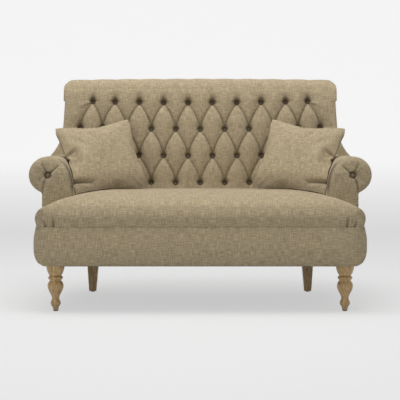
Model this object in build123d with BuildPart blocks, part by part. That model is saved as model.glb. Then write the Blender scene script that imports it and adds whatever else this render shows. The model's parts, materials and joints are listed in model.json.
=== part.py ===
"""Two-seater upholstered sofa with a deep-buttoned back, scroll arms, a tight bench seat and turned front legs.

Millimetres. X runs to the viewer's right, Y to the back, Z up.
The origin lies on the floor, under the middle of the sofa's box.
Right-hand pieces are modelled and left-hand pieces are their mirror images.
"""

import os
from math import atan2, cos, degrees, hypot, radians, sin, sqrt

from build123d import *

os.makedirs("parts", exist_ok=True)

# Overall sizes
overall_width = 1380.0
overall_depth = 805.0
overall_height = 960.0
clearance = 0.3

# Legs
leg_height = 180.0
glide_height = 4.0
glide_radius = 9.0
glide_nail_radius = 1.5
glide_nail_length = 12.0
front_leg_top_radius = 36.5
front_leg_foot_radius = 11.5
front_leg_neck_radius = 22.0
front_leg_neck_height = 137.0
front_leg_ring_radius = 29.5
front_leg_ring_height = 14.0
front_leg_ring_step = 2.0
front_leg_vase = ((23.0, 118.0), (31.7, 93.0), (22.0, 68.0), (15.0, 45.0), (20.6, 26.0), (13.8, 13.0))
front_leg_inset_x = 86.0
front_leg_inset_y = 85.0
rear_leg_top_width = 57.0
rear_leg_top_depth = 48.0
rear_leg_foot_side = 31.0
rear_leg_spacing = 964.0
rear_leg_kick_back = 30.0
rear_leg_splay_out = 6.0
bolt_radius = 4.0
bolt_in_leg = 45.0
bolt_in_frame = 48.0
bolt_hole_clearance = 0.1
tee_nut_flange_radius = 9.0
tee_nut_flange = 1.5
tee_nut_barrel_radius = 6.0
tee_nut_barrel = 10.0

# Seat frame
rail_height = 106.0
rail_thickness = 25.0
base_width = 1336.0
border_pad = 48.0
corner_block_leg = 100.0
corner_block_height = 45.0
brace_width = 60.0
brace_height = 40.0
brace_rise = 12.0
dowel_radius = 4.0
dowel_half_length = 18.0
dowel_edge_distance = 26.0
dowel_hole_clearance = 0.1

# Arms
arm_setback = 115.0
arm_panel = 20.0
roll_radius = 76.0
roll_height = 545.0
inside_width = 1030.0
arm_shoulder_drop = 61.0
arm_shoulder_in = 88.0
arm_waist_height = 456.0
arm_slab = 60.0
facing_pad = 15.0
facing_edge_radius = 9.0
facing_board = 12.0
facing_board_inset = 6.0
stump_depth = 60.0
arm_rail_width = 74.0
arm_rail_height = 32.0
arm_rail_below_roll = 40.0
tack_rail_height = 45.0
arm_button_radius = 11.0
arm_button_height = 8.0
arm_well_radius = 24.0
arm_well_depth = 11.0
arm_pleat_count = 9
arm_pleat_side = 5.0
arm_pleat_length = 34.0

# Back
back_rake = 11.0
back_thickness = 165.0
back_top_width = 1224.0
back_top_front_radius = 70.0
back_top_rear_radius = 50.0
back_corner_radius = 42.0
back_corner_rise = 2.0
back_shoulder_radius = 200.0
post_width = 75.0
post_depth = 50.0
top_rail_height = 60.0
top_padding = 45.0
lower_rail_height = 50.0
lower_rail_rise = 180.0
rear_rail_thickness = 40.0
back_panel = 6.0
strap_width = 50.0
strap_thickness = 2.0
strap_rows = 5
strap_columns = 7
hessian = 1.0
screw_radius = 3.0
screw_bite = 24.0
screw_head_radius = 6.0
screw_head = 3.0
screw_spacing = 45.0
screw_hole_clearance = 0.1

# Buttons and tufts of the back
tuft_column_pitch = 109.3
tuft_row_pitch = 119.0
tuft_top_row_height = 855.0
tuft_edge_draw = 10.0
tuft_edge_lift = 10.0
tuft_well_radius = 27.0
tuft_well_depth = 34.0
tuft_pleat_side = 17.0
buttons_per_row = (10, 11, 10, 9)
button_radius = 10.0
button_height = 7.0
button_edge_radius = 3.0
button_seat_clearance = 1.0
twine_radius = 1.2
twine_hole_clearance = 0.3

# Seat upholstery
seat_height = 480.0
seam_height = 340.0
seam_tuck = 6.0
seat_foot_tuck = 11.0
seat_end_inset = 7.0
seat_end_radius = 60.0
seat_end_turn = 60.0
seat_end_rise = 25.0
seat_arm_drop = 18.0
seat_flat_half = 360.0
seat_roll_rise = 38.0
seat_roll_run = 130.0
seat_roll_drop = 9.0
seat_crown_run = 300.0
seat_rear_drop = 10.0
seat_corner_radius = 80.0
seat_side_gap = 2.0
base_underside_tuck = 44.0
base_bulge_rise = 74.0
deck = 1.5
dust_cover = 2.0
dust_cover_inset = 12.0
dust_cover_leg_gap = 2.0
spring_count = 8
spring_waves = 12
spring_wire_radius = 1.9
spring_width = 48.0
spring_side_gap = 65.0
clip_wall = 1.5
clip_width = 18.0
clip_tail = 9.0
clip_bore_clearance = 0.1

# Scatter cushions
cushion_side = 345.0
cushion_thickness = 125.0
cushion_edge = 8.0
cushion_draw_in = 16.0
cushion_cover = 2.0
cushion_from_arm = 92.0
cushion_from_back = 158.0
cushion_rise = 128.0
cushion_lean = 28.6
cushion_turn = 26.4
cushion_tilt = 7.0
cushion_overhang = 6.0

# Places that follow from the sizes
half_width = overall_width / 2
front_y = -overall_depth / 2
rear_y = overall_depth / 2
base_z = glide_height + leg_height
rail_top = base_z + rail_height
base_half = base_width / 2
rail_outer_x = base_half - border_pad
rail_inner_x = rail_outer_x - rail_thickness
rail_front_y = front_y + border_pad
rail_back_y = rail_front_y + rail_thickness
arm_outer_x = rail_outer_x + arm_panel
arm_inner_x = inside_width / 2
arm_slab_x = arm_inner_x + arm_slab
roll_x = half_width - roll_radius
roll_top = roll_height + roll_radius
arm_front_y = front_y + arm_setback
board_front_y = arm_front_y + facing_pad
stump_front_y = board_front_y + facing_board
stump_back_y = stump_front_y + stump_depth
arm_rail_z = roll_height - arm_rail_below_roll
arm_rail_x = rail_outer_x - arm_rail_width
clip_radius = spring_wire_radius + clip_bore_clearance + clip_wall
spring_z = rail_top + clip_radius
deck_z = spring_z + clip_radius
foam_z = deck_z + deck
post_outer_x = rail_inner_x
post_inner_x = post_outer_x - post_width
leg_x = base_half - front_leg_inset_x
leg_y = front_y + front_leg_inset_y
dowel_hole = dowel_radius + dowel_hole_clearance
dowel_x = rail_outer_x - rail_thickness / 2
bolt_hole = bolt_radius + bolt_hole_clearance
screw_hole = screw_radius + screw_hole_clearance

# The back leans: v runs up along the rake, w forward from the rear face
rake_sin, rake_cos = sin(radians(back_rake)), cos(radians(back_rake))
top_front_w = back_thickness - back_top_front_radius
top_front_v = (overall_height - base_z - back_top_front_radius - top_front_w * rake_sin) / rake_cos
back_top_v = top_front_v + back_top_front_radius
top_rear_v = back_top_v - back_top_rear_radius
back_foot_y = rear_y - top_rear_v * rake_sin + back_top_rear_radius * (rake_cos - 1)
back_plane = Plane(origin=(0, back_foot_y, base_z), x_dir=(1, 0, 0), z_dir=(0, -rake_cos, rake_sin))
rear_rail_w = back_panel + rear_rail_thickness
post_front_w = back_panel + post_depth
back_rail_w = post_front_w - rail_thickness
strap_front_w = post_front_w + 2 * strap_thickness
pad_rear_w = strap_front_w + hessian
frame_top_v = back_top_v - top_padding
top_rail_v = frame_top_v - top_rail_height
lower_rail_top_v = lower_rail_rise + lower_rail_height
back_reach = overall_depth


def raked_point(v, w):
    """Y and Z of the point v up the rake and w forward from the rear face."""
    return back_foot_y + v * rake_sin - w * rake_cos, base_z + v * rake_cos + w * rake_sin


def raked_v(z, w):
    """How far up the rake the plane w reaches the height z."""
    return (z - base_z - w * rake_sin) / rake_cos


def raked_y(z, w):
    """Y of the plane w at the height z."""
    return raked_point(raked_v(z, w), w)[0]


def save(builder, name):
    """Labels a finished piece and writes its STEP file."""
    builder.part.label = name
    export_step(builder.part, f"parts/{name}.step")


def save_pair(builder, name):
    """Writes a right-hand piece and its left-hand mirror image."""
    save(builder, f"right_{name}")
    with BuildPart() as left:
        mirror(builder.part, about=Plane.YZ)
    save(left, f"left_{name}")


def both_sides(places):
    """The places with X as given, and again with X turned round."""
    return [(side * x, y, z) for side in (1, -1) for x, y, z in places]


def block(low, high, mode=Mode.ADD):
    """A box between two corners."""
    with Locations(tuple((a + b) / 2 for a, b in zip(low, high))):
        Box(*[abs(b - a) for a, b in zip(low, high)], mode=mode)


def raked_block(low, high, mode=Mode.ADD):
    """A box between two corners given along X, up the rake and forward."""
    centre = tuple((a + b) / 2 for a, b in zip(low, high))
    with Locations(back_plane.location * Location(centre)):
        Box(*[b - a for a, b in zip(low, high)], mode=mode)


def bars(places, radius, length, along, mode=Mode.SUBTRACT):
    """Round bars or holes of one size, centred on the places, along X, Y or Z."""
    turn = {"X": (0, 90, 0), "Y": (90, 0, 0), "Z": (0, 0, 0)}[along]
    with Locations(*[Location(place, turn) for place in places]):
        Cylinder(radius, length, mode=mode)


# Where the frame's dowels, screws and bolts sit
rail_dowel_levels = (base_z + dowel_edge_distance, rail_top - dowel_edge_distance)
front_joint_dowels = [(dowel_x, rail_back_y, z) for z in rail_dowel_levels]
stump_dowel_ys = (stump_front_y + dowel_edge_distance / 2, stump_back_y - dowel_edge_distance / 2)
stump_foot_dowels = [(dowel_x, y, rail_top) for y in stump_dowel_ys]
stump_head_dowels = [(dowel_x, y, arm_rail_z) for y in stump_dowel_ys]
brace_dowels = [(0, rail_back_y, base_z + brace_rise + brace_height / 2)]
arm_end_x = (arm_rail_x + post_outer_x) / 2
arm_end_z = arm_rail_z + arm_rail_height / 2
tack_end_x = (arm_slab_x + rail_inner_x) / 2
tack_end_z = foam_z + tack_rail_height / 2
arm_end_dowels = [
    (arm_end_x, raked_y(arm_end_z, post_front_w), arm_end_z),
    (tack_end_x, raked_y(tack_end_z, post_front_w), tack_end_z),
]
back_rail_dowels = []
for dowel_v, dowel_w in (
    (raked_v(base_z + dowel_edge_distance, rear_rail_w), back_panel + rear_rail_thickness / 2),
    (raked_v(rail_top - dowel_edge_distance, rear_rail_w), back_panel + rear_rail_thickness / 2),
    (lower_rail_rise + lower_rail_height / 2, post_front_w - rail_thickness / 2),
    (frame_top_v - dowel_edge_distance, post_front_w - rail_thickness / 2),
):
    back_rail_dowels.append((post_inner_x, *raked_point(dowel_v, dowel_w)))
screw_middle_v = raked_v((base_z + rail_top) / 2, back_panel + post_depth / 2)
screw_length = rail_thickness + screw_bite
post_screws = []
for screw_v in (screw_middle_v - screw_spacing / 2, screw_middle_v + screw_spacing / 2):
    screw_y, screw_z = raked_point(screw_v, back_panel + post_depth / 2)
    post_screws.append((rail_outer_x - screw_length / 2, screw_y, screw_z))
screw_heads = [(rail_outer_x - screw_head / 2, y, z) for _, y, z in post_screws]
rear_leg_x = rear_leg_spacing / 2
rear_leg_y = raked_y(base_z, back_panel + rear_rail_thickness / 2)
bolt_middle_z = base_z + (bolt_in_frame - bolt_in_leg) / 2
bolt_length = bolt_in_leg + bolt_in_frame
leg_bolts = [(leg_x, leg_y, bolt_middle_z), (rear_leg_x, rear_leg_y, bolt_middle_z)]

# Seat frame: four beech rails, a centre brace and two glued corner blocks
with BuildPart() as front_rail:
    block((-rail_outer_x, rail_front_y, base_z), (rail_outer_x, rail_back_y, rail_top))
    bars(both_sides(front_joint_dowels) + brace_dowels, dowel_hole, 2 * dowel_half_length, "Y")
save(front_rail, "front_seat_rail")

with BuildPart() as side_rail:
    block((rail_inner_x, rail_back_y, base_z), (rail_outer_x, rear_y, rail_top))
    split(bisect_by=back_plane.offset(back_panel), keep=Keep.TOP)
    bars(front_joint_dowels, dowel_hole, 2 * dowel_half_length, "Y")
    bars(stump_foot_dowels, dowel_hole, 2 * dowel_half_length, "Z")
    bars(post_screws, screw_hole, screw_length, "X")
    bars(screw_heads, screw_head_radius + screw_hole_clearance, screw_head, "X")
save_pair(side_rail, "seat_rail")

with BuildPart() as rear_rail:
    raked_block((-post_inner_x, -rail_height, back_panel), (post_inner_x, 2 * rail_height, rear_rail_w))
    split(bisect_by=Plane.XY.offset(base_z), keep=Keep.TOP)
    split(bisect_by=Plane.XY.offset(rail_top), keep=Keep.BOTTOM)
    bars(both_sides(back_rail_dowels), dowel_hole, 2 * dowel_half_length, "X")
    bars(both_sides(leg_bolts), bolt_hole, bolt_length, "Z")
save(rear_rail, "rear_seat_rail")

with BuildPart() as brace:
    brace_low = (-brace_width / 2, rail_back_y, base_z + brace_rise)
    block(brace_low, (brace_width / 2, rear_y, base_z + brace_rise + brace_height))
    split(bisect_by=back_plane.offset(rear_rail_w), keep=Keep.TOP)
    bars(brace_dowels, dowel_hole, 2 * dowel_half_length, "Y")
save(brace, "centre_seat_brace")

with BuildPart() as corner_block:
    with BuildSketch(Plane.XY.offset(base_z)):
        with BuildLine():
            Polyline(
                (rail_inner_x, rail_back_y),
                (rail_inner_x, rail_back_y + corner_block_leg),
                (rail_inner_x - corner_block_leg, rail_back_y),
                close=True,
            )
        make_face()
    extrude(amount=corner_block_height)
    bars([leg_bolts[0]], bolt_hole, bolt_length, "Z")
    nut_seat = (leg_x, leg_y, base_z + corner_block_height - tee_nut_barrel / 2)
    bars([nut_seat], tee_nut_barrel_radius + bolt_hole_clearance, tee_nut_barrel, "Z")
save_pair(corner_block, "corner_block")

# Arm frame: stump, arm rail, tack rail and the scroll-shaped facing board
with BuildPart() as stump:
    block((rail_inner_x, stump_front_y, rail_top), (rail_outer_x, stump_back_y, arm_rail_z))
    bars(stump_foot_dowels + stump_head_dowels, dowel_hole, 2 * dowel_half_length, "Z")
save_pair(stump, "arm_stump")

with BuildPart() as arm_rail:
    block((arm_rail_x, stump_front_y, arm_rail_z), (rail_outer_x, rear_y, arm_rail_z + arm_rail_height))
    split(bisect_by=back_plane.offset(post_front_w), keep=Keep.TOP)
    bars(stump_head_dowels, dowel_hole, 2 * dowel_half_length, "Z")
    bars(arm_end_dowels, dowel_hole, 2 * dowel_half_length, "Y")
save_pair(arm_rail, "arm_rail")

with BuildPart() as tack_rail:
    block((arm_slab_x, stump_front_y, foam_z), (rail_inner_x, rear_y, foam_z + tack_rail_height))
    split(bisect_by=back_plane.offset(post_front_w), keep=Keep.TOP)
    bars(arm_end_dowels, dowel_hole, 2 * dowel_half_length, "Y")
save_pair(tack_rail, "arm_tack_rail")


def arm_section(outer_x, y, inset=0.0):
    """The arm's cross-section at y: the scroll roll and the padded wall below it, out to outer_x."""
    with BuildSketch(Plane.XZ.offset(-y)) as section:
        with BuildLine():
            shoulder = TangentArc(
                (roll_x, roll_top),
                (roll_x - arm_shoulder_in, roll_top - arm_shoulder_drop),
                tangent=(-1, 0),
            )
            waist = TangentArc(shoulder @ 1, (arm_inner_x, arm_waist_height), tangent=shoulder % 1)
            Polyline(
                waist @ 1,
                (arm_inner_x, foam_z),
                (outer_x, foam_z),
                (outer_x, roll_height),
                (roll_x, roll_height),
                (roll_x, roll_top),
            )
        make_face()
        with Locations((roll_x, roll_height)):
            Circle(roll_radius)
        if inset:
            offset(amount=-inset, mode=Mode.REPLACE)
    return section.sketch


with BuildPart() as facing_panel:
    extrude(arm_section(arm_outer_x, stump_front_y, facing_board_inset), amount=facing_board)
save_pair(facing_panel, "arm_facing_board")

# Back frame: raked posts, top rail and lower tacking rail
with BuildPart() as post:
    raked_block((post_inner_x, -rail_height, back_panel), (post_outer_x, frame_top_v, post_front_w))
    split(bisect_by=Plane.XY.offset(base_z), keep=Keep.TOP)
    bars(back_rail_dowels, dowel_hole, 2 * dowel_half_length, "X")
    bars(post_screws, screw_hole, screw_length, "X")
    bars(arm_end_dowels, dowel_hole, 2 * dowel_half_length, "Y")
save_pair(post, "back_post")

with BuildPart() as top_rail:
    raked_block((-post_inner_x, top_rail_v, back_rail_w), (post_inner_x, frame_top_v, post_front_w))
    bars(both_sides(back_rail_dowels), dowel_hole, 2 * dowel_half_length, "X")
save(top_rail, "back_top_rail")

with BuildPart() as lower_rail:
    raked_block((-post_inner_x, lower_rail_rise, back_rail_w), (post_inner_x, lower_rail_top_v, post_front_w))
    bars(both_sides(back_rail_dowels), dowel_hole, 2 * dowel_half_length, "X")
save(lower_rail, "back_lower_rail")

# Dowels and screws that hold the frame
with BuildPart() as dowels:
    dowel_size = 2 * (dowel_half_length - clearance)
    along_y = both_sides(front_joint_dowels + arm_end_dowels) + brace_dowels
    bars(along_y, dowel_radius, dowel_size, "Y", Mode.ADD)
    bars(both_sides(stump_foot_dowels + stump_head_dowels), dowel_radius, dowel_size, "Z", Mode.ADD)
    bars(both_sides(back_rail_dowels), dowel_radius, dowel_size, "X", Mode.ADD)
save(dowels, "frame_dowels")

with BuildPart() as screws:
    bars(both_sides(post_screws), screw_radius, screw_length, "X", Mode.ADD)
    bars(both_sides(screw_heads), screw_head_radius, screw_head, "X", Mode.ADD)
save(screws, "post_screws")

# Back upholstery
shoulder_centre_x = back_top_width / 2 + back_shoulder_radius
shoulder_reach = roll_radius + back_shoulder_radius
shoulder_z = roll_height + sqrt(shoulder_reach**2 - (shoulder_centre_x - roll_x) ** 2)
shoulder_share = roll_radius / shoulder_reach
shoulder_foot = (
    roll_x + shoulder_share * (shoulder_centre_x - roll_x),
    roll_height + shoulder_share * (shoulder_z - roll_height),
)


def back_outline(side_x, bottom_z):
    """The back seen from the front, down to bottom_z, set side_x wide below the arm rolls."""
    outline_top = overall_height + back_corner_rise
    roll_foot_z = roll_height - sqrt(roll_radius**2 - (side_x - roll_x) ** 2)
    corner_middle = back_corner_radius * (1 - sqrt(0.5))
    with BuildSketch(Plane.XZ) as outline:
        with BuildLine():
            Line((0, bottom_z), (side_x, bottom_z))
            Line((side_x, bottom_z), (side_x, roll_foot_z))
            ThreePointArc((side_x, roll_foot_z), (roll_x + roll_radius, roll_height), shoulder_foot)
            TangentArc(
                (back_top_width / 2, shoulder_z),
                shoulder_foot,
                tangent=(0, -1),
            )
            Line((back_top_width / 2, shoulder_z), (back_top_width / 2, outline_top - back_corner_radius))
            ThreePointArc(
                (back_top_width / 2, outline_top - back_corner_radius),
                (back_top_width / 2 - corner_middle, outline_top - corner_middle),
                (back_top_width / 2 - back_corner_radius, outline_top),
            )
            Line((back_top_width / 2 - back_corner_radius, outline_top), (0, outline_top))
            mirror(about=Plane.YZ)
        make_face()
    return outline.sketch


def back_profile(bottom_z):
    """The back seen from the side: a leaning slab with a rounded top."""
    slant = sqrt(0.5)
    rear_foot = (raked_y(bottom_z, 0), bottom_z)
    front_foot = (raked_y(bottom_z, back_thickness), bottom_z)
    rear_shoulder = raked_point(top_rear_v, 0)
    rear_middle = raked_point(top_rear_v + back_top_rear_radius * slant, back_top_rear_radius * (1 - slant))
    rear_top = raked_point(back_top_v, back_top_rear_radius)
    front_top = raked_point(back_top_v, top_front_w)
    front_middle = raked_point(
        top_front_v + back_top_front_radius * slant,
        top_front_w + back_top_front_radius * slant,
    )
    front_shoulder = raked_point(top_front_v, back_thickness)
    with BuildSketch(Plane.YZ) as profile:
        with BuildLine():
            Line(rear_foot, rear_shoulder)
            ThreePointArc(rear_shoulder, rear_middle, rear_top)
            Line(rear_top, front_top)
            ThreePointArc(front_top, front_middle, front_shoulder)
            Line(front_shoulder, front_foot)
            Line(front_foot, rear_foot)
        make_face()
    return profile.sketch


# Buttons sit in staggered rows that rise a little to the sides; the outer ones are drawn inwards
button_rows = []
for row, count in enumerate(buttons_per_row):
    row_v = raked_v(tuft_top_row_height - row * tuft_row_pitch, back_thickness)
    places = []
    for column in range(count):
        x = (column - (count - 1) / 2) * tuft_column_pitch
        if column in (0, count - 1):
            x -= tuft_edge_draw if x > 0 else -tuft_edge_draw
        places.append((x, row_v + tuft_edge_lift * (2 * x / back_top_width) ** 2))
    button_rows.append(places)
button_places = [place for row in button_rows for place in row]

# Pleats run between neighbouring buttons, over the top and down into the seat
pleats = []
for upper, lower in zip(button_rows, button_rows[1:]):
    for start in upper:
        for end in lower:
            if abs(end[0] - start[0]) < tuft_column_pitch:
                pleats.append((start, end))
for place in button_rows[0]:
    pleats.append((place, (place[0], back_top_v)))
for place in button_rows[-1]:
    pleats.append((place, (place[0], raked_v(foam_z, back_thickness))))
well_floor_w = back_thickness - tuft_well_depth


def pleat_groove(start, end):
    """Where a square bar lies on its edge to press one pleat into the back's front face."""
    middle = ((start[0] + end[0]) / 2, (start[1] + end[1]) / 2, back_thickness)
    turn = degrees(atan2(end[1] - start[1], end[0] - start[0]))
    return back_plane.location * Location(middle, (0, 0, turn)) * Location((0, 0, 0), (45, 0, 0))


with BuildPart() as back_pad:
    extrude(back_outline(rail_outer_x - clearance, foam_z), amount=back_reach, both=True)
    extrude(back_profile(foam_z), amount=half_width, both=True, mode=Mode.INTERSECT)
    cavity_x = post_outer_x + clearance
    raked_block(
        (-cavity_x, -rail_height, -post_depth),
        (cavity_x, frame_top_v + clearance, pad_rear_w),
        Mode.SUBTRACT,
    )
    raked_block(
        (-half_width, -rail_height, -post_depth),
        (half_width, top_rear_v, back_panel),
        Mode.SUBTRACT,
    )
    for side in (1, -1):
        block(
            (side * (arm_rail_x - clearance), stump_back_y, arm_rail_z - clearance),
            (side * (rail_outer_x + clearance), rear_y, arm_rail_z + arm_rail_height + clearance),
            Mode.SUBTRACT,
        )
        block(
            (side * (arm_slab_x - clearance), stump_back_y, foam_z - clearance),
            (side * (rail_inner_x + clearance), rear_y, foam_z + tack_rail_height + clearance),
            Mode.SUBTRACT,
        )
    for start, end in pleats:
        with Locations(pleat_groove(start, end)):
            length = hypot(end[0] - start[0], end[1] - start[1])
            Box(length, tuft_pleat_side, tuft_pleat_side, mode=Mode.SUBTRACT)
    with Locations(*[back_plane.location * Location((x, v, well_floor_w)) for x, v in button_places]):
        Cone(
            button_radius + button_seat_clearance,
            tuft_well_radius,
            tuft_well_depth,
            align=(Align.CENTER, Align.CENTER, Align.MIN),
            mode=Mode.SUBTRACT,
        )
        Cylinder(
            twine_radius + twine_hole_clearance,
            tuft_well_depth + back_thickness,
            mode=Mode.SUBTRACT,
        )
save(back_pad, "back_pad")

with BuildPart() as buttons:
    with Locations(*[back_plane.location * Location((x, v, well_floor_w)) for x, v in button_places]):
        Cylinder(button_radius, button_height, align=(Align.CENTER, Align.CENTER, Align.MIN))
    fillet(buttons.edges().filter_by(GeomType.CIRCLE).filter_by(
        lambda edge: back_plane.to_local_coords(edge.arc_center).Z > well_floor_w + clearance
    ), button_edge_radius)
save(buttons, "back_buttons")

with BuildPart() as twines:
    with Locations(*[back_plane.location * Location((x, v, pad_rear_w)) for x, v in button_places]):
        Cylinder(
            twine_radius,
            well_floor_w - pad_rear_w,
            align=(Align.CENTER, Align.CENTER, Align.MIN),
        )
save(twines, "button_twines")

# Webbing and hessian stretched over the back frame, between the arm rails
webbing_x = arm_rail_x - clearance
with BuildPart() as cross_straps:
    strap_step = (top_rail_v - lower_rail_top_v) / (strap_rows + 1)
    for strap in range(strap_rows):
        middle_v = lower_rail_top_v + strap_step * (strap + 1)
        raked_block(
            (-webbing_x, middle_v - strap_width / 2, post_front_w),
            (webbing_x, middle_v + strap_width / 2, post_front_w + strap_thickness),
        )
save(cross_straps, "back_cross_straps")

with BuildPart() as upright_straps:
    strap_step = 2 * post_inner_x / (strap_columns + 1)
    for strap in range(strap_columns):
        middle_x = strap_step * (strap + 1) - post_inner_x
        raked_block(
            (middle_x - strap_width / 2, lower_rail_rise, post_front_w + strap_thickness),
            (middle_x + strap_width / 2, frame_top_v, strap_front_w),
        )
save(upright_straps, "back_upright_straps")

with BuildPart() as back_hessian:
    raked_block((-webbing_x, lower_rail_rise, strap_front_w), (webbing_x, frame_top_v, pad_rear_w))
save(back_hessian, "back_hessian")

with BuildPart() as outside_back:
    extrude(back_outline(arm_outer_x, base_z), amount=back_reach, both=True)
    raked_block(
        (-half_width, -rail_height, 0),
        (half_width, top_rear_v - clearance, back_panel),
        Mode.INTERSECT,
    )
save(outside_back, "outside_back")

# Arm upholstery: outside panel, padded roll and inside wall, front facing and its button
panel_top = roll_height - sqrt(roll_radius**2 - (rail_outer_x - roll_x) ** 2) - clearance
with BuildPart() as outside_arm:
    block((rail_outer_x, stump_front_y, base_z), (arm_outer_x, rear_y, panel_top))
    block((rail_outer_x, arm_front_y, base_z), (arm_outer_x, stump_front_y, foam_z))
    with BuildSketch(Plane.XZ):
        with Locations((roll_x, roll_height)):
            Circle(roll_radius + clearance)
    extrude(amount=overall_depth, both=True, mode=Mode.SUBTRACT)
    split(bisect_by=back_plane.offset(back_panel), keep=Keep.TOP)
save_pair(outside_arm, "outside_arm")

with BuildPart() as arm_pad:
    extrude(arm_section(arm_slab_x, stump_front_y), amount=-overall_depth)
    split(bisect_by=back_plane.offset(back_thickness + clearance), keep=Keep.TOP)
    block(
        (arm_rail_x, stump_front_y, arm_rail_z),
        (rail_outer_x, rear_y, arm_rail_z + arm_rail_height),
        Mode.SUBTRACT,
    )
    block((rail_inner_x, stump_front_y, rail_top), (rail_outer_x, stump_back_y, arm_rail_z), Mode.SUBTRACT)
save_pair(arm_pad, "arm_pad")

with BuildPart() as facing:
    extrude(arm_section(arm_outer_x, stump_front_y), amount=facing_board + facing_pad)
    fillet(facing.faces().sort_by(Axis.Y)[0].edges().sort_by(Axis.Z)[1:], facing_edge_radius)
    extrude(
        arm_section(arm_outer_x, stump_front_y, facing_board_inset - clearance),
        amount=facing_board,
        mode=Mode.SUBTRACT,
    )
    with Locations(Location((roll_x, arm_front_y + arm_well_depth, roll_height), (90, 0, 0))):
        Cone(
            arm_button_radius + button_seat_clearance,
            arm_well_radius,
            arm_well_depth,
            align=(Align.CENTER, Align.CENTER, Align.MIN),
            mode=Mode.SUBTRACT,
        )
    for pleat in range(arm_pleat_count):
        spoke = Location((roll_x, arm_front_y, roll_height), (0, 360 * pleat / arm_pleat_count, 0))
        with Locations(spoke * Location((arm_pleat_length, 0, 0), (45, 0, 0))):
            Box(arm_pleat_length, arm_pleat_side, arm_pleat_side, mode=Mode.SUBTRACT)
save_pair(facing, "arm_facing")

with BuildPart() as arm_button:
    with Locations(Location((roll_x, arm_front_y + arm_well_depth, roll_height), (90, 0, 0))):
        Cylinder(arm_button_radius, arm_button_height, align=(Align.CENTER, Align.CENTER, Align.MIN))
    fillet(arm_button.faces().sort_by(Axis.Y)[0].edges(), button_edge_radius)
save_pair(arm_button, "arm_button")

# Seat upholstery: a bench seat whose front ends wrap round the arms, over a padded border
def seat_edge(outer, low, side_drop, inner, flat):
    """The rounded edge of the seat, from its vertical foot up to the flat of the crown."""
    turn = radians(seat_end_turn)
    bend = (outer - seat_end_radius * (1 - cos(turn)), low + seat_end_radius * sin(turn))
    foot = TangentArc((outer, low), bend, tangent=(0, 1))
    slope = TangentArc(foot @ 1, (inner, seat_height - side_drop), tangent=foot % 1)
    return TangentArc(slope @ 1, (flat, seat_height), tangent=slope % 1)


seat_back_y = raked_y(seat_height, back_thickness)
with BuildPart() as seat_foam:
    with BuildSketch(Plane.XZ):
        with BuildLine():
            seam_x = base_half - seat_foot_tuck
            seat_half = base_half - seat_end_inset
            Line((0, foam_z), (seam_x, foam_z))
            Line((seam_x, foam_z), (seam_x, seam_height))
            Line((seam_x, seam_height), (seat_half, seam_height + seat_end_rise))
            seat_edge(seat_half, seam_height + seat_end_rise, seat_arm_drop, arm_inner_x, seat_flat_half)
            Line((seat_flat_half, seat_height), (0, seat_height))
            mirror(about=Plane.YZ)
        make_face()
    extrude(amount=overall_depth, both=True)
    with BuildSketch(Plane.YZ):
        with BuildLine():
            roll_low = seam_height + seat_roll_rise
            turn = radians(seat_end_turn)
            bend_y = front_y + seat_end_radius * (1 - cos(turn))
            seam_y = front_y + seat_foot_tuck
            bend_z = roll_low + seat_end_radius * sin(turn)
            far_y = seat_back_y + back_thickness
            Polyline((far_y, foam_z), (seam_y, foam_z), (seam_y, seam_height), (front_y, roll_low))
            nose = TangentArc((front_y, roll_low), (bend_y, bend_z), tangent=(0, 1))
            lap = TangentArc(
                nose @ 1,
                (front_y + seat_roll_run, seat_height - seat_roll_drop),
                tangent=nose % 1,
            )
            TangentArc(lap @ 1, (front_y + seat_crown_run, seat_height), tangent=lap % 1)
            Polyline(
                (front_y + seat_crown_run, seat_height),
                (far_y, seat_height - seat_rear_drop),
                (far_y, foam_z),
            )
        make_face()
    extrude(amount=half_width, both=True, mode=Mode.INTERSECT)
    with BuildSketch(Plane.XY.offset(foam_z)):
        with Locations((0, (front_y + arm_front_y - clearance) / 2)):
            Rectangle(base_width, arm_front_y - clearance - front_y)
        fillet(vertices().group_by(Axis.Y)[0], seat_corner_radius)
        with Locations((0, arm_front_y - clearance)):
            Rectangle(2 * (arm_inner_x - seat_side_gap), overall_depth, align=(Align.CENTER, Align.MIN))
    extrude(amount=seat_height, mode=Mode.INTERSECT)
    split(bisect_by=back_plane.offset(back_thickness + clearance), keep=Keep.TOP)
    block((-half_width, 2 * front_y, foam_z), (half_width, rail_front_y, seam_height), Mode.SUBTRACT)
    for side in (1, -1):
        block(
            (side * rail_outer_x, rail_front_y, foam_z),
            (side * half_width, arm_front_y, seam_height),
            Mode.SUBTRACT,
        )
save(seat_foam, "seat_foam")


def border_edge(outer):
    """The border's bulging outer line, from the underside up to the seam."""
    bulge_z = base_z + base_bulge_rise
    under = TangentArc((outer, bulge_z), (outer - base_underside_tuck, base_z), tangent=(0, -1))
    rise = TangentArc((outer, bulge_z), (outer - seam_tuck, seam_height), tangent=(0, 1))
    return under @ 1, rise @ 1


with BuildPart() as border:
    with BuildSketch(Plane.XZ):
        with BuildLine():
            under_end, seam_end = border_edge(base_half)
            Line((0, base_z), under_end)
            Line(seam_end, (0, seam_height))
            mirror(about=Plane.YZ)
        make_face()
    extrude(amount=overall_depth, both=True)
    with BuildSketch(Plane(origin=(0, 0, 0), x_dir=(0, -1, 0), z_dir=(-1, 0, 0))):
        with BuildLine():
            under_end, seam_end = border_edge(-front_y)
            Polyline(under_end, (0, base_z), (0, seam_height), seam_end)
        make_face()
    extrude(amount=half_width, both=True, mode=Mode.INTERSECT)
    with BuildSketch(Plane.XY.offset(base_z)):
        with Locations((0, (front_y + arm_front_y - clearance) / 2)):
            Rectangle(base_width, arm_front_y - clearance - front_y)
        fillet(vertices().group_by(Axis.Y)[0], seat_corner_radius)
    extrude(amount=seam_height, mode=Mode.INTERSECT)
    block((-rail_outer_x, rail_front_y, 0), (rail_outer_x, arm_front_y, seat_height), Mode.SUBTRACT)
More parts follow.
